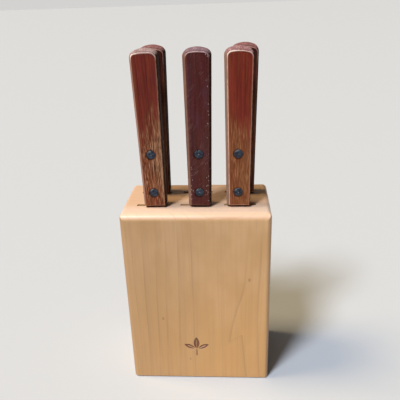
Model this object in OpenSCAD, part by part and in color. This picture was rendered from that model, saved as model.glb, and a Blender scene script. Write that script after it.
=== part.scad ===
// Knife block with steak knives.
//
// The block is glued up from three boards with thin strips between them. The strips leave six
// upright slots open, in two rows of three. Five knives stand in the slots, each on its point,
// and one slot is empty. Each knife is a one-piece wooden handle on a blade with a half tang,
// held by two cutlery rivets, and each rivet is a socket with a stud pressed into it.
//
// Millimetres. The origin is the centre of the block's underside, +Z is up and -Y is the front.

/* [Block] */
// Width of the block
block_w = 115; // [112:0.5:130]
// Depth of the block, front to back
block_d = 66; // [60:0.5:80]
// Height of the block
block_h = 154; // [145:0.5:170]
// Thickness of the front and back boards
outer_board_t = 18; // [15:0.5:20]
// Radius of the block's upright edges and of its top edge at the sides and the back
edge_r = 3.5; // [2:0.25:5]
// Radius of the broader rounding along the block's front top edge
front_top_r = 5.5; // [4:0.25:7]
// Radius of the block's bottom edge
foot_r = 1.5; // [0.5:0.25:1.75]

/* [Slots] */
// Length of a slot along the row
slot_l = 24.4; // [24:0.1:27]
// Width of a slot, which is the thickness of the strips
slot_t = 3.2; // [2.4:0.1:4]
// Distance between the centres of neighbouring slots
slot_pitch = 34.2; // [33:0.1:35]

/* [Mark] */
// Distance of the leaf mark to the right of the block's centre
mark_x = -2.4; // [-20:0.2:20]
// Height above the table of the point where the mark's leaves meet
mark_z = 30; // [20:1:60]
// Length of the upright leaf
leaf_l = 12; // [6:0.5:14]
// Depth of the mark in the front board
mark_depth = 0.5; // [0.3:0.1:1]

/* [Handles] */
// Length of a handle
handle_l = 116; // [105:1:125]
// Thickness of a handle
handle_t = 12; // [10:0.5:14]
// Width of a handle at the blade
handle_front_w = 17.2; // [16.6:0.1:19]
// Width of a handle at the butt
handle_butt_w = 20; // [19:0.1:23]
// Width of the bevel along a handle's edges
bevel = 1.4; // [0.8:0.1:2]
// Height of the rounding over the butt
butt_bevel = 3; // [1.5:0.1:4]
// Easing around a handle's front end
front_ease = 0.6; // [0.2:0.1:1]
// Gap between a handle and the top of the block
handle_gap = 1.8; // [1:0.1:4]

/* [Blades] */
// Length of a blade, from the handle to the point
blade_l = 125; // [110:1:130]
// Width of a blade at the handle
blade_w = 16.6; // [15.5:0.1:17]
// Thickness of a blade
blade_t = 1.5; // [1:0.1:2]
// Length of the half tang
tang_l = 49; // [46:1:55]

/* [Rivets] */
// Diameter of a rivet's head
rivet_d = 6.35; // [5:0.05:8]
// Distance from the handle's front end to the lower rivet
lower_rivet = 11; // [9:0.5:14]
// Distance between the two rivets
rivet_pitch = 30; // [24:0.5:32]

/* [Hidden] */
$fn = 64;
// Fineness of the outlines that a hull joins, and of the curves worked out point by point
arc_steps = 8;
// Clearance between a blade's point and the floor of its slot
point_gap = 0.3;
slot_floor = block_h + handle_gap - blade_l - point_gap;
core_t = block_d - 2 * (outer_board_t + slot_t);
row_y = (core_t + slot_t) / 2;
rivet_heights = [lower_rivet, lower_rivet + rivet_pitch];

// Rivets: a socket with a tube through the handle and the tang, and a stud pressed into it
head_t = 1.8;
head_proud = 0.15;
head_dome = 0.3;
tube_d = 4.4;
pin_d = 3;
pin_l = 6.6;
bore_floor = 0.6;
tube_end_gap = 0.6;
rivet_play = 0.05;

// Blades, in the knife's own frame: the spine is on the left and the edge is on the right
ricasso_l = 6;
grind_w = 8;
edge_t = 0.3;
edge_taper = 1.3;
belly_start = 70;
spine_drop_start = 80;
point_x = -blade_w / 2 + 3.5;

// Butt of a handle: two corner arcs and a flatter crown between them
corner_r = 5;
crown_r = 18;

// How a handle's edge turns from its face to its side, as steps of depth behind the face in
// millimetres, then the shares of the bevel, the butt's rounding and the front easing still left
EDGE_STEPS = [
    [0, 1, 1, 1],
    [0.2, 0.8, 0.76, 0.6],
    [1.2, 0.12, 0.2, 0],
    [1.7, 0, 0.06, 0],
    [2.6, 0, 0, 0],
];

// Centres of the slots, and the strips between them: name, left end and right end
slot_x = [-slot_pitch, 0, slot_pitch];
STRIPS = [
    ["left_strip", -block_w / 2, slot_x[0] - slot_l / 2],
    ["left_divider", slot_x[0] + slot_l / 2, slot_x[1] - slot_l / 2],
    ["right_divider", slot_x[1] + slot_l / 2, slot_x[2] - slot_l / 2],
    ["right_strip", slot_x[2] + slot_l / 2, block_w / 2],
];
ROWS = [["front", -row_y], ["rear", row_y]];

// Knives: name, slot centre, row centre, shift to the right in the slot, lean to the right in
// degrees, and how much wider than usual this hand-shaped handle is
KNIVES = [
    ["front_left", slot_x[0], -row_y, 3.0, -0.75, -0.5],
    ["front_middle", slot_x[1], -row_y, 3.4, 0.45, 0],
    ["front_right", slot_x[2], -row_y, -1.6, 0.35, 0.5],
    ["rear_left", slot_x[0], row_y, 2.6, 0.25, 0],
    ["rear_right", slot_x[2], row_y, 3.0, 0.5, 0],
];

PIECES = [
    "handle", "blade", "lower_rivet_socket", "lower_rivet_stud", "upper_rivet_socket",
    "upper_rivet_stud",
];

// ---- Block ----

// Upright section of the block, w wide, with its rounded top and bottom corners
module block_section(w) {
    translate([-w / 2 + edge_r, 0]) square([w - 2 * edge_r, block_h]);
    translate([-w / 2, foot_r]) square([w, block_h - edge_r - foot_r]);
    for (side = [-1, 1]) {
        translate([side * (w / 2 - edge_r), block_h - edge_r]) circle(edge_r);
        translate([side * (w / 2 - foot_r), foot_r]) circle(foot_r);
    }
    translate([-w / 2 + foot_r, 0]) square([w - 2 * foot_r, foot_r]);
}

// One of the block's four rounded upright corners, a ball at the top and a smaller round below
module corner_post() {
    translate([0, 0, block_h - edge_r]) sphere(edge_r);
    translate([0, 0, foot_r]) cylinder(h = block_h - edge_r - foot_r, r = edge_r);
    rotate_extrude() translate([edge_r - foot_r, foot_r]) circle(foot_r);
    cylinder(h = foot_r, r = edge_r - foot_r);
}

// The strip outside the rounding along the front top edge, which is cut away
module front_top_offcut() {
    margin = 1;
    translate([-block_w / 2 - margin, -block_d / 2 + front_top_r, block_h - front_top_r])
        rotate([90, 0, 90]) linear_extrude(block_w + 2 * margin) difference() {
            translate([-front_top_r - margin, 0]) square(front_top_r + margin);
            circle(front_top_r);
        }
}

// The whole block as one blank, before it is divided into boards and strips
module blank() {
    inner_w = block_w - 2 * edge_r;
    inner_d = block_d - 2 * edge_r;
    difference() {
        union() {
            translate([0, inner_d / 2, 0]) rotate([90, 0, 0])
                linear_extrude(inner_d) block_section(block_w);
            translate([-inner_w / 2, 0, 0]) rotate([90, 0, 90])
                linear_extrude(inner_w) block_section(block_d);
            for (x = [-1, 1], y = [-1, 1])
                translate([x * inner_w / 2, y * inner_d / 2, 0]) corner_post();
        }
        front_top_offcut();
    }
}

// The part of the blank between two opposite corners
module blank_between(low, high) {
    intersection() {
        blank();
        translate(low) cube(high - low);
    }
}

// A pointed leaf with a raised vein, its stalk end at the origin and its tip up
module leaf(l) {
    leaf_r = 0.72 * l;
    vein_w = 0.35;
    vein_l = 0.7 * l;
    difference() {
        intersection_for(side = [-1, 1])
            translate([side * sqrt(leaf_r * leaf_r - l * l / 4), l / 2]) circle(leaf_r);
        translate([-vein_w / 2, 0]) square([vein_w, vein_l]);
    }
}

// The sprig mark: an upright leaf, a pair of side leaves and a stalk
module sprig() {
    stalk_w = 0.8;
    stalk_l = 0.55 * leaf_l;
    leaf_gap = 0.5;
    side_leaf_l = 0.85 * leaf_l;
    side_leaf_turn = 62;
    translate([0, leaf_gap]) leaf(leaf_l);
    for (side = [-1, 1])
        rotate(side * side_leaf_turn) translate([0, leaf_gap + stalk_w]) leaf(side_leaf_l);
    translate([-stalk_w / 2, -stalk_l]) square([stalk_w, stalk_l]);
}

module front_board() {
    color("burlywood") difference() {
        blank_between([-block_w / 2, -block_d / 2, 0], [block_w / 2, -row_y - slot_t / 2, block_h]);
        translate([mark_x, -block_d / 2 + mark_depth, mark_z]) rotate([90, 0, 0])
            linear_extrude(mark_depth + 1) sprig();
    }
}

module core_board() {
    color("wheat")
        blank_between([-block_w / 2, -core_t / 2, 0], [block_w / 2, core_t / 2, block_h]);
}

module back_board() {
    color("burlywood")
        blank_between([-block_w / 2, row_y + slot_t / 2, 0], [block_w / 2, block_d / 2, block_h]);
}

// The strip along the bottom of a row, whose top edge is the floor of its slots
module bottom_strip(y) {
    color("tan") blank_between(
        [-block_w / 2, y - slot_t / 2, 0],
        [block_w / 2, y + slot_t / 2, slot_floor]
    );
}

// An upright strip of a row, standing on the bottom strip
module upright_strip(y, left, right) {
    color("tan") blank_between(
        [left, y - slot_t / 2, slot_floor],
        [right, y + slot_t / 2, block_h]
    );
}

// ---- Knives ----
// A knife's own frame has its origin at the middle of the handle's front end, with +Z towards
// the butt and the blade hanging down.

module in_slot(knife) {
    translate([knife[1] + knife[3], knife[2], block_h + handle_gap])
        rotate([0, knife[4], 0])
            children();
}

function arc(centre, r, from, to) =
    [for (i = [0:arc_steps]) centre + r * [cos(from + (to - from) * i / arc_steps),
                                           sin(from + (to - from) * i / arc_steps)]];

// Outline of a handle's face, drawn inside the full outline by the given insets
module handle_outline(extra_w, inset, top_inset, front_inset) {
    r = corner_r - inset;
    half_front = (handle_front_w + extra_w) / 2 - inset;
    half_butt = (handle_butt_w + extra_w) / 2 - inset;
    top = handle_l - top_inset;
    // The corner arc runs into the crown arc where both have the same direction
    crown_y = top - crown_r;
    corner_x = half_butt - r;
    corner_y = crown_y + sqrt(pow(crown_r - r, 2) - pow(corner_x, 2));
    blend = atan2(corner_y - crown_y, corner_x);
    polygon(concat(
        [[-half_front, front_inset], [half_front, front_inset]],
        arc([corner_x, corner_y], r, 0, blend),
        arc([0, crown_y], crown_r, blend, 180 - blend),
        arc([-corner_x, corner_y], r, 180 - blend, 180)
    ));
}

// One layer of a handle's body, whose two sides are the given depth behind the handle's faces
module handle_layer(depth) {
    translate([0, handle_t / 2 - depth, 0]) rotate([90, 0, 0])
        linear_extrude(handle_t - 2 * depth) children();
}

module handle(knife) {
    extra_w = knife[5];
    kerf_l = tang_l + 1;
    color("saddlebrown") in_slot(knife) difference() {
        hull() {
            for (step = EDGE_STEPS) handle_layer(step[0]) handle_outline(
                extra_w,
                step[1] * bevel,
                step[2] * butt_bevel,
                step[3] * front_ease
            );
        }
        // Saw kerf for the tang
        translate([-handle_butt_w, -blade_t / 2, -1]) cube([2 * handle_butt_w, blade_t, kerf_l + 1]);
        // Stepped bores for the rivets
        for (z = rivet_heights) translate([0, 0, z]) rotate([90, 0, 0]) {
            cylinder(h = handle_t + 2, d = tube_d + rivet_play, center = true);
            for (side = [0, 180]) rotate([side, 0, 0])
                translate([0, 0, handle_t / 2 + head_proud - head_t])
                    cylinder(h = head_t + 1, d = rivet_d + rivet_play);
        }
    }
}

// Outline of a blade below its ricasso, less a margin along the edge side
module blade_outline(margin) {
    spine_x = -blade_w / 2;
    edge_x = blade_w / 2 - edge_taper;
    belly_l = blade_l - belly_start;
    belly_r = (pow(edge_x - point_x, 2) + pow(belly_l, 2)) / (2 * (edge_x - point_x));
    belly_turn = asin(belly_l / belly_r);
    drop_l = blade_l - spine_drop_start;
    drop_r = (pow(point_x - spine_x, 2) + pow(drop_l, 2)) / (2 * (point_x - spine_x));
    drop_turn = asin(drop_l / drop_r);
    point_margin = 1.6 * margin;
    intersection() {
        polygon(concat(
            [[spine_x, -ricasso_l], [blade_w / 2, -ricasso_l]],
            arc([edge_x - belly_r, -belly_start], belly_r, 0, -belly_turn),
            arc([spine_x + drop_r, -spine_drop_start], drop_r, 180 + drop_turn, 180)
        ));
        translate([-blade_w / 2, -blade_l + point_margin])
            square([blade_w - margin, blade_l - point_margin]);
    }
}

module blade_layer(t) {
    translate([0, t / 2, 0]) rotate([90, 0, 0]) linear_extrude(t) children();
}

module blade(knife) {
    tang_w = blade_w - 1;
    color("silver") in_slot(knife) difference() {
        union() {
            hull() {
                blade_layer(blade_t) blade_outline(grind_w);
                blade_layer(edge_t) blade_outline(0);
            }
            translate([-blade_w / 2, -blade_t / 2, -ricasso_l]) cube([blade_w, blade_t, ricasso_l]);
            translate([-tang_w / 2, -blade_t / 2, 0]) cube([tang_w, blade_t, tang_l]);
        }
        for (z = rivet_heights) translate([0, 0, z]) rotate([90, 0, 0])
            cylinder(h = blade_t + 2, d = tube_d + rivet_play, center = true);
    }
}

// A rivet's slightly domed head, facing +Z, with its face at half the handle's thickness
module rivet_head() {
    top = handle_t / 2 + head_proud;
    dome_r = (pow(rivet_d / 2, 2) + pow(head_dome, 2)) / (2 * head_dome);
    intersection() {
        translate([0, 0, top - head_t]) cylinder(h = head_t, d = rivet_d);
        translate([0, 0, top - dome_r]) sphere(dome_r);
    }
}

// The socket half of a rivet, whose head is on the knife's front face
module rivet_socket(knife, z) {
    head_back = handle_t / 2 + head_proud - head_t;
    tube_l = 2 * head_back - tube_end_gap;
    color("slategray") in_slot(knife) translate([0, 0, z]) rotate([90, 0, 0]) difference() {
        union() {
            rivet_head();
            translate([0, 0, head_back - tube_l]) cylinder(h = tube_l, d = tube_d);
        }
        translate([0, 0, head_back - tube_l - 1]) cylinder(h = tube_l + 1 - bore_floor, d = pin_d);
    }
}

// The stud half of a rivet, whose head is on the knife's back face
module rivet_stud(knife, z) {
    head_back = handle_t / 2 + head_proud - head_t;
    color("slategray") in_slot(knife) translate([0, 0, z]) rotate([-90, 0, 0]) {
        rivet_head();
        translate([0, 0, head_back - pin_l]) cylinder(h = pin_l, d = pin_d);
    }
}

// ---- Nodes ----

front_board();
core_board();
back_board();

for (row = ROWS) {
    bottom_strip(row[1]);
    for (strip = STRIPS)
        upright_strip(row[1], strip[1], strip[2]);
}

for (knife = KNIVES) {
    handle(knife);
    blade(knife);
    rivet_socket(knife, rivet_heights[0]);
    rivet_stud(knife, rivet_heights[0]);
    rivet_socket(knife, rivet_heights[1]);
    rivet_stud(knife, rivet_heights[1]);
}
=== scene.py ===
"""Looks for the knife block: worn, stained handles, a satin maple block, steel and a plain studio.

Sizes are in millimetres where a name doesn't say otherwise, and meshes are built in metres.
The boards, strips, blades and rivets are the CAD nodes with materials. The handles are new meshes.
"""

import math

import bmesh
import bpy
import numpy as np
from mathutils import Matrix, Vector, kdtree, noise


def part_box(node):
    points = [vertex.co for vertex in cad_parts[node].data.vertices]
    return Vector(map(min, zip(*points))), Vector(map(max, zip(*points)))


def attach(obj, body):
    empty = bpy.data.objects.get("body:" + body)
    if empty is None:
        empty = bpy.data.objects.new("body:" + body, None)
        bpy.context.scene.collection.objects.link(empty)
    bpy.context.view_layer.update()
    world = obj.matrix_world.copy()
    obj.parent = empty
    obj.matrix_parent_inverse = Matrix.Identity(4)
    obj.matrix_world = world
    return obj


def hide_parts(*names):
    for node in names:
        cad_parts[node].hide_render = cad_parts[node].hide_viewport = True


MM = 0.001

# Camera: the direction it looks from and its roll in degrees, how far it stands off its aim, the
# aim, and the lens
CAMERA_AZIMUTH = 3.86
CAMERA_ELEVATION = 22.49
CAMERA_ROLL = -1.905
CAMERA_DISTANCE = 386.2
CAMERA_AIM = (2.2, 0, 152.4)
CAMERA_LENS = 43.07

# Handle: the radii of a bevel's corners with the face and with the side
INNER_ARRIS_R = 0.35
OUTER_ARRIS_R = 0.8
# The rounding over the butt, how deep it reaches behind a face, and its fall-off
BUTT_ROUNDING = 3.0
BUTT_DEPTH = 2.6
BUTT_POWER = 2.2
FRONT_EASE = 0.6
FRONT_EASE_DEPTH = 0.9
# Radii of the corners and the crown where the rounding over the butt ends, as on the CAD handle
CORNER_R = 5.0
CROWN_R = 18.0
# How much shorter than the CAD handle a worn handle is, so that it stays inside its box
SHORTER = 0.01
# Depths behind a face at which the edge is cut into rings, out to the middle of the handle
EDGE_DEPTHS = (0, 0.01, 0.03, 0.06, 0.12, 0.25, 0.5, 0.8, 1.1, 1.4, 1.7, 2.0, 2.3, 2.6, 3.0, 4.0)
# Shares of the way from a face's rim to its middle line at which the face is cut into rings
FACE_SHARES = (0.03, 0.07, 0.14, 0.28, 0.5, 0.75)
# Points along a handle's front end, each side, each corner and the crown
END_POINTS = 18
SIDE_POINTS = 110
CORNER_POINTS = 12
CROWN_POINTS = 20
# Hand shaping: how far a surface strays, over what length, and the seed of its noise
STRAY = 0.07
STRAY_LENGTH = 16.0
STRAY_SEED = 5
# A vertex less than this far behind a face's plane is on the face
ON_FACE = 0.09
# Points of a mesh that are closer than this are welded
WELD = 0.002
# Cuts in a handle: the kerf for the tang and the stepped bores for the rivets
KERF_W = 1.56
KERF_L = 50.0
BORE_R = 2.23
HEAD_BORE_R = 3.24
HEAD_BORE_DEPTH = 1.65
BORE_SIDES = 64
# Edges that turn by more than this many degrees are shaded sharp
SHARP_ANGLE = 32.0
# The part of a CAD handle within this distance of its front end gives its width there
FRONT_SLICE = 0.05

# How bright the backdrop looks behind the floor, as a share of white, and the soft light from
# all around where it is strongest, on the left, and where it is weakest
BACKDROP = 0.72
SOFT_LEFT = 0.16
SOFT_RIGHT = 0.03
# Lights: azimuth and elevation in degrees, how wide the light looks in degrees, its strength and
# its colour
LIGHTS = {
    "key": ((-37, 55), 14, 3.35, (0.87, 0.92, 1)),
    "side": ((-90, 60), 18, 2.0, (1, 0.78, 0.45)),
    "overhead": ((20, 80), 80, 0.25, (1, 0.9, 0.78)),
}
# The floor's radius in metres
FLOOR_R = 80

# Usual distance between two growth rings of the maple
RING_SPACING = 5.8


# ---- Shader building ----


def linear(colour):
    """The linear RGBA of a colour written as six hex digits."""
    parts = [int(colour[i : i + 2], 16) / 255 for i in (0, 2, 4)]
    return (*(c / 12.92 if c <= 0.04045 else ((c + 0.055) / 1.055) ** 2.4 for c in parts), 1.0)


class Shader:
    """A material's node tree, built one operation at a time. Most calls give the new socket."""

    def __init__(self, name):
        self.material = bpy.data.materials.new(name)
        self.material.use_nodes = True
        self.tree = self.material.node_tree
        self.surface = self.tree.nodes["Principled BSDF"]

    def node(self, kind, **settings):
        made = self.tree.nodes.new(kind)
        for key, value in settings.items():
            setattr(made, key, value)
        return made

    def feed(self, socket, value):
        """Links a socket to another one, or sets its constant."""
        if isinstance(value, bpy.types.NodeSocket):
            self.tree.links.new(value, socket)
        else:
            socket.default_value = value

    def wire(self, made, values):
        """Feeds a node's inputs in their order, and gives its first output."""
        for socket, value in zip(made.inputs, values):
            self.feed(socket, value)
        return made.outputs[0]

    def math(self, operation, *values):
        return self.wire(self.node("ShaderNodeMath", operation=operation), values)

    def vector(self, operation, *values):
        return self.wire(self.node("ShaderNodeVectorMath", operation=operation), values)

    def combine(self, x=0.0, y=0.0, z=0.0):
        return self.wire(self.node("ShaderNodeCombineXYZ"), (x, y, z))

    def separate(self, vector):
        made = self.node("ShaderNodeSeparateXYZ")
        self.feed(made.inputs[0], vector)
        return made.outputs

    def place(self):
        """The point on the piece, in its own millimetres."""
        point = self.node("ShaderNodeTexCoord").outputs["Object"]
        return self.vector("MULTIPLY", point, (1 / MM,) * 3)

    def own_place(self):
        """The point in the handle's own millimetres: across, through and along it."""
        return self.node("ShaderNodeAttribute", attribute_name="own_place").outputs["Vector"]

    def normal(self):
        return self.separate(self.node("ShaderNodeNewGeometry").outputs["Normal"])

    def noise(self, point, size, detail=2.0, rough=0.5, output=0):
        """Noise between 0 and 1 whose blotches have the given size along X, Y and Z."""
        made = self.node("ShaderNodeTexNoise")
        self.feed(made.inputs["Vector"], self.vector("DIVIDE", point, size))
        self.feed(made.inputs["Scale"], 1.0)
        self.feed(made.inputs["Detail"], detail)
        self.feed(made.inputs["Roughness"], rough)
        return made.outputs[output]

    def wander(self, point, size, detail, reach):
        """A slow drift of a point, of up to half of reach each way along X, Y and Z."""
        centred = self.vector("SUBTRACT", self.noise(point, size, detail, output=1), (0.5,) * 3)
        return self.vector("MULTIPLY", centred, reach)

    def jitter(self, value, noise, reach):
        """A value moved by a noise, by up to half of reach each way."""
        return self.math("MULTIPLY_ADD", self.math("SUBTRACT", noise, 0.5), reach, value)

    def spots(self, point, size):
        """Distance to the nearest of many scattered points, as a share of their spacing."""
        made = self.node("ShaderNodeTexVoronoi")
        self.feed(made.inputs["Vector"], self.vector("DIVIDE", point, size))
        self.feed(made.inputs["Scale"], 1.0)
        return made.outputs["Distance"]

    def rise(self, value, low, high):
        """0 below low, 1 above high, and smooth between them. It falls where low is above high."""
        made = self.node("ShaderNodeMapRange", interpolation_type="SMOOTHSTEP")
        self.feed(made.inputs["Value"], value)
        for name, number in (("From Min", low), ("From Max", high)):
            self.feed(made.inputs[name], number)
        return made.outputs[0]

    def mix(self, share, first, second):
        """A colour between two others."""
        made = self.node("ShaderNodeMix", data_type="RGBA")
        for index, value in ((0, share), (6, first), (7, second)):
            self.feed(made.inputs[index], value)
        return made.outputs[2]

    def blend(self, share, first, second):
        """A number between two others."""
        made = self.node("ShaderNodeMix", data_type="FLOAT")
        for index, value in ((0, share), (2, first), (3, second)):
            self.feed(made.inputs[index], value)
        return made.outputs[0]

    def product(self, *values):
        made = values[0]
        for value in values[1:]:
            made = self.math("MULTIPLY", made, value)
        return made

    def distance(self, across, up):
        """How far a point is from another one, from its distances across and up."""
        squares = self.math("ADD", self.product(across, across), self.product(up, up))
        return self.math("SQRT", squares)

    def finish(self, colour, roughness, height=None, relief=0.02, **constants):
        """Sets the surface. relief is how many millimetres deep a height from 0 to 1 is."""
        self.feed(self.surface.inputs["Base Color"], colour)
        self.feed(self.surface.inputs["Roughness"], roughness)
        for name, value in constants.items():
            self.surface.inputs[name.replace("_", " ")].default_value = value
        if height is not None:
            bump = self.node("ShaderNodeBump")
            bump.inputs["Distance"].default_value = relief * MM
            self.feed(bump.inputs["Height"], height)
            self.feed(self.surface.inputs["Normal"], bump.outputs[0])
        return self.material


# ---- Materials ----


def maple(name, pith, tilt=0.0, offset=(0, 0, 0), front=None):
    """Satin maple cut from a log whose centre line passes pith and leans along Y with height.

    front, the box of the mark, is given for the front board only, which also has a hooked figure
    and flecks.
    """
    s = Shader(name)
    here = s.place()
    point = s.vector("ADD", here, offset)
    late, soft = growth(s, here, point, pith, tilt, front is not None)
    fibre = s.noise(point, (1.4, 1.4, 90), 3.0, 0.6)
    fine = s.noise(point, (0.4, 0.4, 20), 2.0)
    mottle = s.noise(point, (22, 22, 40), 2.5)
    across_normal, _, up_normal = s.normal()
    x, y, z = s.separate(here)
    warmth = s.rise(z, 150, 10)
    shade = s.rise(s.math("MULTIPLY_ADD", z, -0.25, x), -70, 40)

    # Side grain, warmer towards the foot, with painted shade that dulls it to the left, higher up and
    # on the narrow sides
    colour = s.mix(s.rise(mottle, 0.36, 0.64), linear("D6A875"), linear("C99A62"))
    colour = s.mix(s.product(warmth, 0.7), colour, linear("DA9F54"))
    colour = s.mix(s.product(s.rise(fibre, 0.42, 0.75), 0.4), colour, linear("B98C5C"))
    colour = s.mix(s.product(s.rise(fine, 0.5, 0.8), 0.2), colour, linear("C1935F"))
    colour = s.mix(s.product(soft, 0.1), colour, linear("A87B4E"))
    faint = s.blend(s.rise(x, 5, 25), 0.31, 0.22)
    colour = s.mix(s.product(late, faint, s.rise(z, 150, 120)), colour, linear("8F5E33"))
    # Painted shade: duller to the left and higher up
    colour = s.mix(s.blend(shade, 0.36, 0.0), colour, linear("A98259"))
    # Painted shade: the narrow sides, where the normal points left or right, are darker
    beside = s.rise(s.math("ABSOLUTE", across_normal), 0.1, 0.7)
    colour = s.mix(s.product(beside, 0.5), colour, linear("976A3C"))
    if front is not None:
        colour = flecked(s, colour, x, z, fine)
        colour = burnt(s, colour, here, front)
    # End grain is paler, partly its own colour and partly a painted sheen, and the pale colour reaches
    # down the rounded edges as a painted highlight. It is palest near the front, where the band is a
    # painted highlight, with the rings as thin lines
    up = s.rise(up_normal, 0.12, 0.5)
    end_grain_and_sheen = s.mix(s.product(fine, 0.5), linear("DEBA9B"), linear("CE9F7A"))
    end_grain_and_sheen = s.mix(s.product(late, 0.3), end_grain_and_sheen, linear("B98458"))
    end_grain_and_sheen = s.mix(s.product(soft, 0.16), end_grain_and_sheen, linear("D6A77B"))
    # Painted highlight: a paler band along the top near the front edge
    painted_front_highlight = s.product(s.rise(y, -10, -24), s.rise(y, -32, -27))
    end_grain_and_sheen = s.mix(s.product(painted_front_highlight, 0.6), end_grain_and_sheen, linear("EED7C6"))
    colour = s.mix(up, colour, end_grain_and_sheen)
    roughness = s.blend(fibre, 0.36, 0.5)
    return s.finish(colour, roughness, s.blend(0.5, fibre, fine), 0.02, Coat_Weight=0.8,
                    Coat_Roughness=0.45)


def growth(s, here, point, pith, tilt, hook):
    """Where the growth rings' dark late wood is, as thin lines and as soft bands before them."""
    bent = s.vector("ADD", here, s.wander(point, (60, 60, 210), 1.5, (13, 9, 0)))
    x, y, z = s.separate(bent)
    if hook:
        x = hooked(s, x, z)
    across = s.math("SUBTRACT", x, pith[0])
    behind = s.math("ADD", y, s.math("MULTIPLY_ADD", z, tilt, -pith[1]))
    radius = s.distance(across, behind)
    uneven = s.noise(s.combine(radius), (6, 1, 1), 1.0)
    rings = s.math("MULTIPLY_ADD", uneven, 1.3, s.math("DIVIDE", radius, RING_SPACING))
    phase = s.math("FRACT", rings)
    strength = s.rise(s.noise(point, (26, 26, 70)), 0.36, 0.64)
    late = s.product(s.rise(phase, 0.74, 0.94), s.rise(phase, 1.0, 0.955), strength)
    soft = s.product(s.rise(phase, 0.2, 0.95), s.rise(phase, 1.0, 0.95))
    return late, soft


def hooked(s, x, z):
    """Bends the growth lines of the right-hand quarter into a hook low on the board.

    Above the hook the lines sweep out to the right, and below it they run straight down.
    """
    hook_x, hook_z = 26.0, 26.0
    x = s.math("MULTIPLY_ADD", s.rise(x, 2, 20), 9.0, x)
    step = s.rise(s.math("SUBTRACT", z, s.math("ADD", x, hook_z - hook_x)), -1.5, 2.5)
    sweep = s.math("MULTIPLY_ADD", z, 0.2, -17.0)
    near = s.product(s.rise(x, 12, 27), s.rise(x, 53, 43))
    return s.math("SUBTRACT", x, s.product(step, sweep, near))


def flecked(s, colour, x, z, fine):
    """Small dark mineral flecks at their places across and up the front board."""
    for fleck_x, fleck_z, size in ((-29, 61, 1.0), (41, 98, 1.1), (-8, 20, 0.7)):
        beside = s.math("DIVIDE", s.math("SUBTRACT", x, fleck_x), size)
        above = s.math("DIVIDE", s.math("SUBTRACT", z, fleck_z), 1.5 * size)
        distance = s.math("ADD", s.product(beside, beside), s.product(above, above))
        fleck = s.rise(s.math("ADD", distance, fine), 2.0, 0.6)
        colour = s.mix(s.product(fleck, 0.45), colour, linear("7E5230"))
    return colour


def burnt(s, colour, here, mark):
    """Browns the recess of the mark, a little unevenly. mark is the recess's box."""
    low, high = mark
    x, y, z = s.separate(here)
    inside = s.product(
        s.rise(x, low.x - 0.1, low.x),
        s.rise(x, high.x + 0.1, high.x),
        s.rise(z, low.z - 0.1, low.z),
        s.rise(z, high.z + 0.1, high.z),
        s.rise(y, low.y + 0.03, low.y + 0.1),
    )
    scorch = s.noise(here, (2.2, 2.2, 2.2), 3.0)
    brown = s.mix(scorch, linear("6A3208"), linear("8A4C1A"))
    return s.mix(inside, colour, brown)


def handle_wood(name, look, size, rivets):
    """Stained wood whose dye has worn off over the lower half and is worn along the edges, with
    painted light, shade and highlights on its bevels, sides and butt, and a ring of painted shade and
    dirt round each rivet.
    """
    s = Shader(name)
    here = s.own_place()
    x, y, z = s.separate(here)
    point = s.vector("ADD", here, look["offset"])
    point = s.vector("ADD", point, s.wander(point, (9, 9, 34), 1.0, (1.4, 1.4, 0)))
    grain = {
        "fibre": s.noise(point, (0.6, 0.9, 20), 3.0, 0.6),
        "streak": s.noise(point, (1.1, 1.6, 42), 2.0),
        "cloud": s.noise(point, (6, 7, 17), 3.0),
        "patch": s.noise(point, (5, 5, 20), 3.0, 0.6),
        "chip": s.noise(point, (0.9, 0.9, 2.8), 3.0, 0.7),
    }
    worn = worn_share(s, grain, look, x, z)
    colour = s.mix(worn, dyed(s, grain, look, point), bare(s, grain, look, point, x, z))
    pores = s.rise(s.noise(point, (0.33, 0.5, 6.0), 1.5), 0.52, 0.61)
    pores = s.product(pores, s.blend(worn, look["pores"] * 0.15, look["pores"]))
    colour = s.mix(pores, colour, linear(look["pore"]))
    arris = s.node("ShaderNodeAttribute", attribute_name="arris").outputs["Fac"]
    # Wear, with painted light, shade and highlights on the bevels, sides and butt
    colour = edges_worn_and_lit(s, grain, look, colour, here, arris, size)
    # Dirt and painted shade in a ring round each rivet
    for height in rivets:
        colour = dirt_and_shade_ring(s, colour, x, z, height, grain["chip"])
    if look["scratches"]:
        colour = scratched(s, colour, point, x, z, arris, look["scratches"])
    roughness = s.blend(worn, look["roughness"], 0.6)
    roughness = s.blend(s.rise(arris, -0.1, 0.5), roughness, 0.75)
    height = s.math("SUBTRACT", grain["fibre"], s.product(pores, 0.8))
    return s.finish(colour, roughness, height, 0.07, Specular_IOR_Level=0.06)


def dirt_and_shade_ring(s, colour, x, z, height, chip):
    """Dark dirt and painted shade of the gap round its head, in a ragged ring around a rivet, a
    little thicker below it and on the left.
    """
    beside = s.math("ADD", x, 0.2)
    up = s.math("SUBTRACT", z, height - 0.25)
    dirt_and_shade = s.rise(s.math("ADD", chip, s.distance(beside, up)), 5.0, 3.9)
    return s.mix(s.product(dirt_and_shade, 0.75), colour, linear("1E0F0E"))


def worn_share(s, grain, look, x, z):
    """How much of the dye is gone. The worn part ends raggedly, along the grain."""
    height = s.jitter(z, grain["streak"], 50.0)
    height = s.jitter(height, grain["fibre"], 30.0)
    height = s.jitter(height, grain["cloud"], 34.0)
    height = s.math("MULTIPLY_ADD", x, look["worn_lean"], height)
    (gone, whole), (foot, above) = look["worn_top"], look["worn_bottom"]
    return s.product(s.rise(height, whole, gone), s.rise(height, foot, above), look["worn"])


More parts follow.
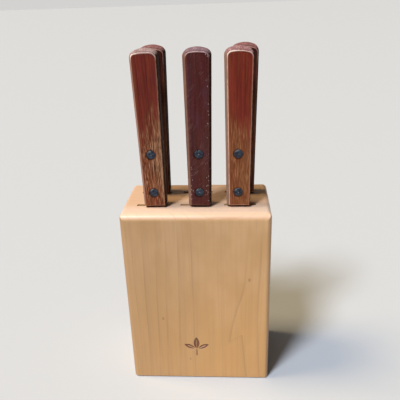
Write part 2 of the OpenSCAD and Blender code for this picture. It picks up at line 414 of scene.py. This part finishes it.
def dyed(s, grain, look, point):
    """The dye where it is whole: fine streaks of other tones, and a stain if the look has one."""
    brown = s.rise(s.noise(s.vector("ADD", point, (30, 30, 30)), (1.7, 2.4, 38), 2.0), 0.5, 0.68)
    colour = s.mix(s.rise(grain["streak"], 0.36, 0.64), linear(look["dye"]), linear(look["dye_light"]))
    colour = s.mix(s.product(brown, 0.55), colour, linear(look["dye_brown"]))
    dark = s.rise(grain["fibre"], 0.5, 0.68)
    colour = s.mix(s.product(dark, 0.48), colour, linear(look["dye_dark"]))
    colour = s.mix(s.product(s.rise(grain["cloud"], 0.5, 0.68), 0.5), colour, linear(look["dye_cool"]))
    x = s.separate(point)[0]
    beside = s.math("SUBTRACT", x, look["offset"][0] - 4.2)
    stain = s.product(s.rise(s.math("ABSOLUTE", beside), 2.2, 0.4), s.rise(grain["patch"], 0.3, 0.55))
    return s.mix(s.product(stain, look["stain"]), colour, linear("3E2430"))


def bare(s, grain, look, point, x, z):
    """Wood with little dye left in it, redder towards the left and full of pale fibres.

    A look can add rust at the foot, and a tan strip along the right edge.
    """
    pale = s.rise(s.noise(s.vector("ADD", point, (50, 50, 50)), (0.38, 0.55, 8), 1.5), 0.5, 0.62)
    colour = s.mix(s.rise(x, -8, 7), linear(look["bare_red"]), linear(look["bare"]))
    rust = s.product(s.rise(z, 34, 10), s.rise(x, 8, 1), look["rust"])
    colour = s.mix(rust, colour, linear("95502F"))
    colour = s.mix(s.product(s.rise(grain["fibre"], 0.44, 0.64), 0.6), colour, linear(look["bare_dark"]))
    colour = s.mix(s.product(s.rise(grain["cloud"], 0.46, 0.62), 0.55), colour, linear(look["bare_red"]))
    colour = s.mix(s.product(pale, look["fibres"]), colour, linear(look["bare_light"]))
    strip = s.product(s.rise(x, 5.6, 7.8), s.rise(z, 66, 44), s.rise(grain["patch"], 0.25, 0.5))
    return s.mix(s.product(strip, look["strip"]), colour, linear("B98E68"))


def edges_worn_and_lit(s, grain, look, colour, here, arris, size):
    """Wears the edges and paints light on them: the left bevel and side paler, partly wear and partly
    painted light, the right ones dark as painted shade, the butt paler, partly wear and partly a
    painted sheen, and a pale worn line along the arris of the face, made near-white and stronger to
    the left along the butt as a painted highlight.

    arris is the distance from the face's rim, above 0 on the bevels and below 0 on the face.
    """
    x, y, z = s.separate(here)
    across, _, up = s.normal()
    beyond_face = s.rise(arris, 0.05, 0.3)
    mottle = s.rise(grain["patch"], 0.25, 0.6)
    brushed = s.rise(grain["fibre"], 0.3, 0.7)
    tint = s.product(s.rise(arris, -1.9, -0.1), s.rise(x, 2, -3), look["rim_tint"])
    colour = s.mix(tint, colour, linear(look["rim_colour"]))
    # Left bevel and side: paler, partly wear and partly painted light from the left
    left_wear_and_light = s.product(s.rise(across, -0.3, -0.55), beyond_face, s.blend(mottle, 0.7, 0.95))
    off_middle = s.math("ADD", s.math("ABSOLUTE", y), s.product(grain["cloud"], 2.0))
    left_wear_and_light = s.product(left_wear_and_light, s.blend(s.rise(off_middle, 3.0, 5.4), 0.35, 1.0))
    left = s.mix(s.product(brushed, 0.4), linear(look["left"]), linear(look["left_dark"]))
    colour = s.mix(left_wear_and_light, colour, left)
    # Right bevel and side: dark, painted shade
    right_painted_shade = s.product(s.rise(across, 0.3, 0.55), beyond_face, s.blend(mottle, 0.8, 0.97))
    right = s.mix(s.product(brushed, 0.6), linear(look["right"]), linear(look["right_dark"]))
    colour = s.mix(right_painted_shade, colour, right)
    # Butt: pinkish grey, partly wear and partly a painted sheen from above
    butt_wear_and_sheen = s.product(s.rise(up, 0.25, 0.6), beyond_face, s.blend(mottle, 0.75, 0.95))
    butt = s.mix(s.product(brushed, 0.5), linear(look["butt"]), linear(look["butt_dark"]))
    scuff = s.noise(here, (1.1, 1.3, 1.1), 3.0, 0.65)
    butt = s.mix(s.product(s.rise(scuff, 0.52, 0.62), 0.6), butt, linear(look["butt_dark"]))
    butt = s.mix(s.product(s.rise(scuff, 0.46, 0.38), 0.5), butt, linear(look["butt_line_colour"]))
    colour = s.mix(butt_wear_and_sheen, colour, butt)

    reach = size["length"] - look["butt_reach"]
    by_butt = s.rise(z, reach - 5, reach)
    by_front = s.rise(z, 2.2, 0.9)
    by_side = s.blend(s.rise(x, -2, 2), look["left_line"], look["right_line"])
    # Painted highlight: the line along the butt is stronger to the left, towards the light
    butt_highlight_to_left = s.blend(s.rise(x, 7, -5), 0.6, 1.0)
    strength = s.math("MAXIMUM", s.blend(by_butt, by_side, butt_highlight_to_left), s.product(by_front, 0.9))
    width = s.jitter(0.75, grain["chip"], look["raggedness"])
    width = s.jitter(width, grain["patch"], 1.2)
    line = s.product(s.rise(arris, -0.22, 0.05), s.rise(s.math("SUBTRACT", width, arris), -0.2, 0.3))
    # Along the butt the line turns near-white, a painted highlight
    line_colour = s.mix(by_butt, linear(look["line"]), linear(look["butt_line_colour"]))
    colour = s.mix(s.product(line, strength), colour, line_colour)
    # Dark dashes just under the line along the butt
    under = s.product(s.rise(arris, -1.3, -0.5), s.rise(arris, -0.15, -0.4), by_butt)
    dash = s.rise(grain["chip"], 0.47, 0.56)
    return s.mix(s.product(under, dash, 0.7), colour, linear(look["pore"]))


def scratched(s, colour, point, x, z, arris, amount):
    """A few fine pale scratches that run up to the right, and pale nicks by the edges and low."""
    across, y, along = s.separate(point)
    for angle, length, share in ((24, 26, 0.14), (47, 12, 0.2)):
        shown = s.rise(s.noise(s.vector("ADD", point, (angle, 0, 0)), (7, 9, 11)), 0.52, 0.68)
        sine, cosine = math.sin(math.radians(angle)), math.cos(math.radians(angle))
        forward = s.math("ADD", s.product(across, sine), s.product(along, cosine))
        beside = s.math("SUBTRACT", s.product(across, cosine), s.product(along, sine))
        turned = s.combine(beside, y, forward)
        hairline = s.rise(s.noise(turned, (0.6, 3, length), 2.5), 0.54, 0.68)
        colour = s.mix(s.product(hairline, shown, amount * share), colour, linear("B09A98"))
    nick = s.rise(s.spots(point, (1.5, 1.5, 2.4)), 0.24, 0.1)
    some = s.rise(s.noise(point, (7, 7, 12)), 0.42, 0.6)
    near_edge = s.product(s.rise(arris, -2.6, -0.6), s.rise(arris, 0.5, 0.1), s.rise(x, -3, 5), some)
    low = s.product(s.rise(z, 48, 14), s.rise(s.math("ABSOLUTE", x), 1.5, 6), 0.9)
    where = s.math("MAXIMUM", near_edge, s.math("MAXIMUM", low, 0.06))
    return s.mix(s.product(nick, where, amount), colour, linear("B7A69C"))


def steel(name):
    """Stainless steel with a fine satin grind across the blade."""
    s = Shader(name)
    point = s.place()
    grind = s.noise(point, (9, 9, 0.22), 3.0, 0.6)
    band = s.noise(point, (40, 40, 1.7), 2.5, 0.6)
    smudge = s.noise(point, (9, 9, 14), 3.0)
    colour = s.mix(s.product(grind, 0.5), linear("D2D4D6"), linear("9EA2A8"))
    colour = s.mix(s.product(s.rise(band, 0.4, 0.7), 0.32), colour, linear("81868E"))
    colour = s.mix(s.product(s.rise(smudge, 0.5, 0.7), 0.35), colour, linear("8B9097"))
    roughness = s.blend(smudge, 0.16, 0.42)
    height = s.math("ADD", band, grind)
    return s.finish(colour, roughness, height, 0.015, Metallic=1.0, Anisotropic=0.4)


def rivet_steel(name):
    """Bluish rivet heads, dark as a painted reflection of dark surroundings, with patches of tarnish
    and a painted highlight on the upper left rim of their domes.
    """
    s = Shader(name)
    point = s.place()
    rub = s.noise(point, (0.7, 6, 0.7), 2.0, 0.5)
    tarnish = s.noise(point, (1.8, 1.8, 1.8), 1.5)
    # Dark base colours, a painted reflection of dark surroundings, patchy with tarnish
    colour = s.mix(s.rise(tarnish, 0.35, 0.65), linear("2C323D"), linear("434B59"))
    colour = s.mix(s.product(s.rise(rub, 0.55, 0.75), 0.3), colour, linear("5F6B7C"))
    # Painted highlight on the upper left rim of each dome, where the normal faces up and left
    across, _, up = s.normal()
    upper = s.math("MULTIPLY_ADD", across, -0.4, up)
    rim = s.product(s.rise(upper, 0.08, 0.22), s.rise(tarnish, 0.3, 0.55))
    colour = s.mix(s.product(rim, 0.7), colour, linear("B0B4BC"))
    roughness = s.blend(rub, 0.34, 0.52)
    return s.finish(colour, roughness, rub, 0.008, Metallic=0.85)


def plain(name, colour):
    s = Shader(name)
    return s.finish(linear(colour), 0.85)


# ---- Handles ----


def side_inset(depth, bevel):
    """How far a side is drawn in at a depth behind a face: a bevel with an arc at each end."""
    tan_half = math.tan(math.radians(22.5))
    inner_run = INNER_ARRIS_R * tan_half
    outer_run = OUTER_ARRIS_R * tan_half
    inner_end = inner_run * math.sin(math.radians(45))
    outer_start = bevel - outer_run * math.sin(math.radians(45))
    if depth < inner_end:
        rise = INNER_ARRIS_R - depth
        return bevel + inner_run - math.sqrt(INNER_ARRIS_R**2 - rise**2)
    if depth < outer_start:
        return bevel - depth
    rise = min(0.0, depth - (bevel + outer_run))
    return OUTER_ARRIS_R - math.sqrt(OUTER_ARRIS_R**2 - rise**2)


def butt_inset(depth):
    return BUTT_ROUNDING * max(0.0, 1 - depth / BUTT_DEPTH) ** BUTT_POWER


def front_inset(depth):
    return FRONT_EASE * max(0.0, 1 - depth / FRONT_EASE_DEPTH) ** 2


def arc(centre, radius, start, end, count):
    angles = np.linspace(start, end, count)
    return np.stack([centre[0] + radius * np.cos(angles), centre[1] + radius * np.sin(angles)], 1)


def line(start, end, count):
    """Evenly spaced points from start up to, but without, end."""
    shares = np.linspace(0, 1, count, endpoint=False)[:, None]
    return np.array(start) * (1 - shares) + np.array(end) * shares


def between(at_face, inside, depth):
    """A measure that runs from one value at the face to another where the butt's rounding ends."""
    left = max(0.0, 1 - depth / BUTT_DEPTH) ** 2
    return at_face * left + inside * (1 - left)


def crown(size, depth):
    """The radius of the crown at a depth behind a face, and the height of its centre."""
    radius = between(size["crown"], CROWN_R, depth)
    return radius, size["length"] - butt_inset(depth) - radius


def corner(size, depth, side):
    """One side of a handle's outline at a depth behind a face: its front corner, and the centre,
    radius and turn of the arc that leads to the crown. side is 1 on the right, -1 on the left."""
    inset = side_inset(depth, size["bevels"][side])
    radius = between(size["corners"][side], CORNER_R, depth)
    front = size["front_w"] / 2 - inset
    centre_x = size["butt_w"] / 2 - inset - radius
    crown_r, crown_z = crown(size, depth)
    centre_z = crown_z + math.sqrt((crown_r - radius) ** 2 - centre_x**2)
    turn = math.atan2(centre_z - crown_z, centre_x)
    return (side * front, front_inset(depth)), (side * centre_x, centre_z), radius, turn


def outline(size, depth):
    """A handle's outline at a depth behind a face, as points across and along the handle."""
    crown_r, crown_z = crown(size, depth)
    right, right_centre, right_r, right_turn = corner(size, depth, 1)
    left, left_centre, left_r, left_turn = corner(size, depth, -1)
    right_end = (right_centre[0] + right_r, right_centre[1])
    left_end = (left_centre[0] - left_r, left_centre[1])
    return np.concatenate([
        line(left, right, END_POINTS),
        line(right, right_end, SIDE_POINTS),
        arc(right_centre, right_r, 0, right_turn, CORNER_POINTS)[:-1],
        arc((0, crown_z), crown_r, right_turn, math.pi - left_turn, CROWN_POINTS)[:-1],
        arc(left_centre, left_r, math.pi - left_turn, math.pi, CORNER_POINTS)[:-1],
        line(left_end, left, SIDE_POINTS),
    ])


def ring(points, y):
    """Points across and along the handle, set at one place through its thickness."""
    return np.stack([points[:, 0], np.full(len(points), y), points[:, 1]], 1)


def face_rings(size, y):
    """Rings from a face's rim in to its middle line, which is the last of them."""
    rim = outline(size, 0)
    opposite = (END_POINTS - np.arange(len(rim))) % len(rim)
    height = (rim[:, 1] + rim[opposite, 1]) / 2
    reach = size["front_w"] / 2
    middle = np.stack([np.zeros(len(rim)), np.clip(height, reach, size["length"] - reach)], 1)
    return [ring(rim * (1 - t) + middle * t, y) for t in (*FACE_SHARES, 1.0)]


def handle_rings(size):
    """Rings around the whole handle, from the middle of its front face to that of its back."""
    half = size["thickness"] / 2
    edge = [ring(outline(size, depth), depth - half) for depth in EDGE_DEPTHS]
    rings = face_rings(size, -half)[::-1] + edge
    mirrored = [r * (1, -1, 1) for r in rings[::-1]]
    return rings + [ring(outline(size, half), 0.0)] + mirrored


def stray(points, seed, size):
    """Moves points by a slow noise, as hand sanding does, but never out of the handle's box."""
    moved = points.copy()
    for i, point in enumerate(points):
        moved[i] += STRAY * np.array(noise.noise_vector(Vector(point / STRAY_LENGTH) + seed))
    half_w, half = size["butt_w"] / 2, size["thickness"] / 2
    return np.clip(moved, (-half_w, -half, 0), (half_w, half, size["length"]))


def joined_mesh(name, rings):
    """A closed mesh over rings that have the same number of points."""
    count = len(rings[0])
    bm = bmesh.new()
    verts = [bm.verts.new(Vector(p) * MM) for r in rings for p in r]
    for k in range(len(rings) - 1):
        for i in range(count):
            j = (i + 1) % count
            a, b = k * count, (k + 1) * count
            bm.faces.new((verts[a + i], verts[b + i], verts[b + j], verts[a + j]))
    bmesh.ops.remove_doubles(bm, verts=bm.verts, dist=WELD * MM)
    bmesh.ops.recalc_face_normals(bm, faces=bm.faces)
    mesh = bpy.data.meshes.new(name)
    bm.to_mesh(mesh)
    bm.free()
    return mesh


def kerf_cutter(size):
    bm = bmesh.new()
    width = 2 * size["butt_w"]
    reach = 2 * KERF_L
    bmesh.ops.create_cube(bm, size=1)
    bmesh.ops.scale(bm, verts=bm.verts, vec=Vector((width, KERF_W, reach)) * MM)
    return bm


def bore_cutter(size, height):
    """The stepped bore of one rivet, a body of revolution about Y."""
    half = size["thickness"] / 2
    step = half - HEAD_BORE_DEPTH
    profile = [(-half - 1, HEAD_BORE_R), (-step, HEAD_BORE_R), (-step, BORE_R),
               (step, BORE_R), (step, HEAD_BORE_R), (half + 1, HEAD_BORE_R)]
    turns = [math.tau * i / BORE_SIDES for i in range(BORE_SIDES)]
    bm = bmesh.new()
    loops = []
    for y, r in profile:
        spots = [(r * math.cos(a), y, height + r * math.sin(a)) for a in turns]
        loops.append([bm.verts.new(Vector(p) * MM) for p in spots])
    for first, second in zip(loops, loops[1:]):
        for i in range(BORE_SIDES):
            j = (i + 1) % BORE_SIDES
            bm.faces.new((first[i], first[j], second[j], second[i]))
    bm.faces.new(loops[0])
    bm.faces.new(loops[-1])
    bmesh.ops.recalc_face_normals(bm, faces=bm.faces)
    return bm


def cut(obj, cutters):
    """Cuts each cutter out of obj and applies the result."""
    for bm in cutters:
        mesh = bpy.data.meshes.new("cutter")
        bm.to_mesh(mesh)
        bm.free()
        tool = bpy.data.objects.new("cutter", mesh)
        bpy.context.scene.collection.objects.link(tool)
        modifier = obj.modifiers.new("cut", "BOOLEAN")
        modifier.operation = "DIFFERENCE"
        modifier.solver = "EXACT"
        modifier.object = tool
        bpy.context.view_layer.update()
        shaped = bpy.data.meshes.new_from_object(obj.evaluated_get(bpy.context.evaluated_depsgraph_get()))
        obj.modifiers.remove(modifier)
        obj.data = shaped
        bpy.data.objects.remove(tool)


def mark_places(mesh, size):
    """Stores each vertex's place on the handle, and its distance in millimetres from the rim of
    the nearer flat face: above 0 on the bevels and sides, and below 0 on the face itself."""
    half = size["thickness"] / 2
    samples = [p for side in (-1, 1) for p in ring(outline(size, 0), side * half)]
    tree = kdtree.KDTree(len(samples))
    for i, point in enumerate(samples):
        tree.insert(Vector(point), i)
    tree.balance()
    distances = []
    for vertex in mesh.vertices:
        distance = tree.find(vertex.co / MM)[2]
        on_face = half - abs(vertex.co.y / MM) < ON_FACE
        distances.append(-distance if on_face else distance)
    attribute = mesh.attributes.new("arris", "FLOAT", "POINT")
    attribute.data.foreach_set("value", distances)
    places = mesh.attributes.new("own_place", "FLOAT_VECTOR", "POINT")
    places.data.foreach_set("vector", [c / MM for vertex in mesh.vertices for c in vertex.co])


def box_centre(node):
    low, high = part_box(node)
    return (low + high) / 2


def knife_place(knife):
    """The knife's own frame, its handle's sizes, and the heights of the rivets along it."""
    lower = box_centre(f"{knife}_lower_rivet_socket")
    upper = box_centre(f"{knife}_upper_rivet_socket")
    up = Vector((upper.x - lower.x, 0, upper.z - lower.z)).normalized()
    across = Vector((up.z, 0, -up.x))
    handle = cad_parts[f"{knife}_handle"]
    points = np.array([v.co for v in handle.data.vertices])
    middle_y = (points[:, 1].min() + points[:, 1].max()) / 2
    foot = Vector((lower.x, middle_y, lower.z))
    along = (points - foot) @ np.array(up)
    beside = (points - foot) @ np.array(across)
    origin = foot + up * float(along.min())
    at_front = along < along.min() + FRONT_SLICE * MM
    size = {
        "length": float(along.max() - along.min()) / MM - SHORTER,
        "thickness": float(points[:, 1].max() - points[:, 1].min()) / MM,
        "front_w": float(np.ptp(beside[at_front])) / MM,
        "butt_w": float(np.ptp(beside)) / MM,
    }
    rivets = [(c - origin).dot(up) / MM for c in (lower, upper)]
    place = Matrix((
        (across.x, 0, up.x, origin.x),
        (across.y, 1, up.y, origin.y),
        (across.z, 0, up.z, origin.z),
        (0, 0, 0, 1),
    ))
    return place, size, rivets


def make_handle(knife, seed, look):
    place, size, rivets = knife_place(knife)
    size["bevels"] = dict(zip((-1, 1), look["bevels"]))
    size["corners"] = dict(zip((-1, 1), look["corners"]))
    size["crown"] = look["crown"]
    rings = [stray(r, Vector((seed, 0, 0)), size) for r in handle_rings(size)]
    piece = bpy.data.objects.new(f"{knife}_worn_handle", joined_mesh(f"{knife}_worn_handle", rings))
    bpy.context.scene.collection.objects.link(piece)
    cut(piece, [kerf_cutter(size), *(bore_cutter(size, height) for height in rivets)])
    mark_places(piece.data, size)
    piece.data.shade_smooth()
    piece.data.set_sharp_from_angle(angle=math.radians(SHARP_ANGLE))
    piece.data.materials.clear()
    piece.data.materials.append(handle_wood(f"{knife}_wood", look, size, rivets))
    piece.data.transform(place)
    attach(piece, f"{knife}_knife")
    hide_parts(f"{knife}_handle")


# Looks of the handles. First come the width of each bevel and the radius of each corner by the
# butt, left and right, and the radius of the crown, all at the face. Then come the colours, the
# share of each kind of wear, and the heights between which the worn part fades out. Of the
# colours, left is partly painted light, right is painted shade, butt is partly a painted sheen and
# butt_line_colour is partly a painted highlight. worn_lean tilts that part's ends, and butt_reach
# is how far down the sides the butt's pale line reaches. Each offset moves the noise, so that no
# two handles have the same grain.
RED = {
    "bevels": (1.5, 1.0), "corners": (2.3, 3.8), "crown": 40.0,
    "dye": "64281F", "dye_light": "793227", "dye_brown": "6B3A22", "dye_dark": "401310",
    "dye_cool": "602526",
    "bare": "906042", "bare_red": "7A3C24", "bare_dark": "5C2E1C", "bare_light": "C39A76",
    "pore": "35130D", "pores": 0.9, "fibres": 0.6,
    "rim_tint": 0.45, "rim_colour": "7D4630",
    "left": "A27C70", "left_dark": "7F5A4E", "right": "392217", "right_dark": "25140C",
    "butt": "A68E8C", "butt_dark": "846A6A",
    "line": "B08872", "left_line": 0.35, "right_line": 0.8,
    "butt_line_colour": "F0D8CE", "butt_reach": 4, "raggedness": 1.3,
    "worn": 0.95, "worn_lean": -1.0, "worn_top": (46, 72), "worn_bottom": (-16, 12),
    "roughness": 0.4, "rust": 0, "strip": 0, "scratches": 0, "stain": 0, "offset": (0, 0, 0),
}
REAR = {
    **RED, "dye": "351A14", "dye_light": "40201A", "worn": 0.3, "butt": "8E6361",
    "butt_dark": "6D4445", "butt_reach": 11, "butt_line_colour": "C8968A", "right_line": 0.3,
    "corners": (3.0, 3.4), "crown": 27.0,
}
LOOKS = {
    "front_left": {**RED, "rust": 0.8, "strip": 0.75, "worn_top": (47, 72)},
    "front_middle": {
        **RED, "bevels": (2.2, 1.7), "corners": (3.2, 3.2), "crown": 27.0,
        # The middle handle's cool, purplish dye tones are partly a painted sheen
        "dye": "4B2120", "dye_light": "5A2A28", "dye_brown": "4F2C25",
        "dye_dark": "341315", "dye_cool": "54303A",
        "bare": "5A372B", "bare_red": "4E2620", "bare_dark": "42221B", "bare_light": "6C4A3E",
        "pore": "250E0C", "pores": 0.3, "fibres": 0.4, "rim_colour": "64392F",
        "left": "8A6858", "left_dark": "66443A", "right": "3B281F",
        "butt": "8B7178", "butt_dark": "694F55", "line": "7E5C50", "left_line": 0.3,
        "right_line": 0.35, "butt_line_colour": "C0A3A4", "raggedness": 2.6,
        "worn": 0.35, "worn_lean": 0.0, "scratches": 1.0, "stain": 0.35, "offset": (40, 0, 70),
    },
    "front_right": {
        **RED, "bevels": (2.4, 0.8), "corners": (3.0, 3.4), "crown": 27.0,
        "dye": "6F291E", "dye_light": "843627", "dye_cool": "6A2822",
        "bare": "8A5636", "bare_red": "7F462B", "bare_dark": "683A22", "bare_light": "B08056",
        "left": "957A69", "left_dark": "78584A", "butt": "9A7476", "butt_dark": "785256",
        "line": "DDAA92", "left_line": 1.0, "right_line": 0.65,
        "worn_lean": 0.4, "worn_top": (47, 72), "worn_bottom": (-60, -40),
        "pores": 0.4, "fibres": 0.5, "offset": (80, 0, 20),
    },
    "rear_left": {**REAR, "offset": (120, 0, 90)},
    "rear_right": {**REAR, "offset": (160, 0, 50)},
}


# ---- Studio ----


def aimed(direction_from, aim, distance):
    """Where a thing stands that looks at aim from an azimuth and elevation in degrees, and the
    direction from aim to it."""
    azimuth, elevation = (math.radians(a) for a in direction_from)
    back = Vector((
        math.sin(azimuth) * math.cos(elevation),
        -math.cos(azimuth) * math.cos(elevation),
        math.sin(elevation),
    ))
    return Vector(aim) + back * distance, back


def add_camera():
    place, back = aimed((CAMERA_AZIMUTH, CAMERA_ELEVATION), Vector(CAMERA_AIM) * MM,
                        CAMERA_DISTANCE * MM)
    right = Vector((0, 0, 1)).cross(back).normalized()
    up = back.cross(right)
    roll = math.radians(CAMERA_ROLL)
    rolled_right = right * math.cos(roll) + up * math.sin(roll)
    rolled_up = up * math.cos(roll) - right * math.sin(roll)
    camera = bpy.data.objects.new("camera", bpy.data.cameras.new("camera"))
    camera.data.lens = CAMERA_LENS
    camera.data.clip_start = 0.01
    turn = Matrix((rolled_right, rolled_up, back)).transposed().to_4x4()
    camera.matrix_world = Matrix.Translation(place) @ turn
    bpy.context.scene.collection.objects.link(camera)
    bpy.context.scene.camera = camera


def add_light(name, direction_from, spread, strength, colour):
    """An even, distant light. A wide spread softens its shadows."""
    place, back = aimed(direction_from, (0, 0, 0), 1.0)
    light = bpy.data.objects.new(name, bpy.data.lights.new(name, "SUN"))
    light.data.angle = math.radians(spread)
    light.data.energy = strength
    light.data.color = colour
    light.matrix_world = Matrix.Translation(place) @ back.to_track_quat("Z", "Y").to_matrix().to_4x4()
    bpy.context.scene.collection.objects.link(light)


def add_studio():
    bm = bmesh.new()
    bmesh.ops.create_circle(bm, cap_ends=True, segments=96, radius=FLOOR_R)
    mesh = bpy.data.meshes.new("floor")
    bm.to_mesh(mesh)
    bm.free()
    floor = bpy.data.objects.new("floor", mesh)
    floor.data.materials.append(plain("floor", "BEC2C8"))
    bpy.context.scene.collection.objects.link(floor)
    for name, light in LIGHTS.items():
        add_light(name, *light)
    add_surroundings()
    bpy.context.scene.view_settings.view_transform = "Standard"


def add_surroundings():
    """Dim, soft light from all around, stronger from the left, behind a plain pale backdrop."""
    world = bpy.data.worlds.new("studio")
    world.use_nodes = True
    tree = world.node_tree
    direction = tree.nodes.new("ShaderNodeTexCoord").outputs["Generated"]
    split = tree.nodes.new("ShaderNodeSeparateXYZ")
    side = tree.nodes.new("ShaderNodeMapRange")
    side.interpolation_type = "SMOOTHSTEP"
    limits = {"From Min": -0.8, "From Max": 0.5, "To Min": SOFT_LEFT, "To Max": SOFT_RIGHT}
    for name, number in limits.items():
        side.inputs[name].default_value = number
    seen = tree.nodes.new("ShaderNodeLightPath").outputs["Is Camera Ray"]
    strength = tree.nodes.new("ShaderNodeMix")
    strength.inputs[3].default_value = BACKDROP
    background = tree.nodes["Background"]
    background.inputs["Color"].default_value = linear("F4F3F1")
    tree.links.new(direction, split.inputs[0])
    tree.links.new(split.outputs[0], side.inputs["Value"])
    tree.links.new(seen, strength.inputs[0])
    tree.links.new(side.outputs[0], strength.inputs[2])
    tree.links.new(strength.outputs[0], background.inputs["Strength"])
    bpy.context.scene.world = world


# ---- The object ----


def mark_recess():
    """The box of the mark's recess in the front board, in millimetres, from the CAD mesh."""
    points = np.array([v.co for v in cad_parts["front_board"].data.vertices]) / MM
    front = points[:, 1].min()
    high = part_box("front_board")[1]
    rim = 8.0
    shallow = (points[:, 1] > front + 0.1) & (points[:, 1] < front + 2)
    inner = (np.abs(points[:, 0]) < high.x / MM - rim) & (points[:, 2] > rim)
    inner &= points[:, 2] < high.z / MM - rim
    recess = points[shallow & inner]
    return (Vector((recess[:, 0].min(), front, recess[:, 2].min())),
            Vector((recess[:, 0].max(), front, recess[:, 2].max())))


def dress(node, material):
    node.data.materials.clear()
    node.data.materials.append(material)


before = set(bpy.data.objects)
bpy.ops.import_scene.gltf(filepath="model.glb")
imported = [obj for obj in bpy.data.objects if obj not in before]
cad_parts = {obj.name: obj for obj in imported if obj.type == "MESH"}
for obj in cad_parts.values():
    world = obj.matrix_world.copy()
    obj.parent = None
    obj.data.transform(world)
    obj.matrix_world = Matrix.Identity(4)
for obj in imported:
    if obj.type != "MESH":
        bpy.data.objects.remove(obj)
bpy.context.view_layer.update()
noise.seed_set(STRAY_SEED)
add_camera()

MAPLE = {
    "front_board": maple("maple_front", (22, 27), front=mark_recess()),
    "core_board": maple("maple_core", (-25, 85), 0.03, offset=(90, 0, 40)),
    "back_board": maple("maple_back", (-8, -40), 0.04, offset=(0, 70, 95)),
}
STRIP = maple("maple_strip", (10, 160), 0.02, offset=(150, 30, 0))
BLADE = steel("blade_steel")
RIVET = rivet_steel("rivet_steel")

for name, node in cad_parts.items():
    if "rivet" in name:
        dress(node, RIVET)
    elif name.endswith("_blade"):
        dress(node, BLADE)
    elif not name.endswith("_handle"):
        dress(node, MAPLE.get(name, STRIP))

for number, (knife, look) in enumerate(LOOKS.items()):
    make_handle(knife, 10 * number, look)

add_studio()

bpy.context.view_layer.update()
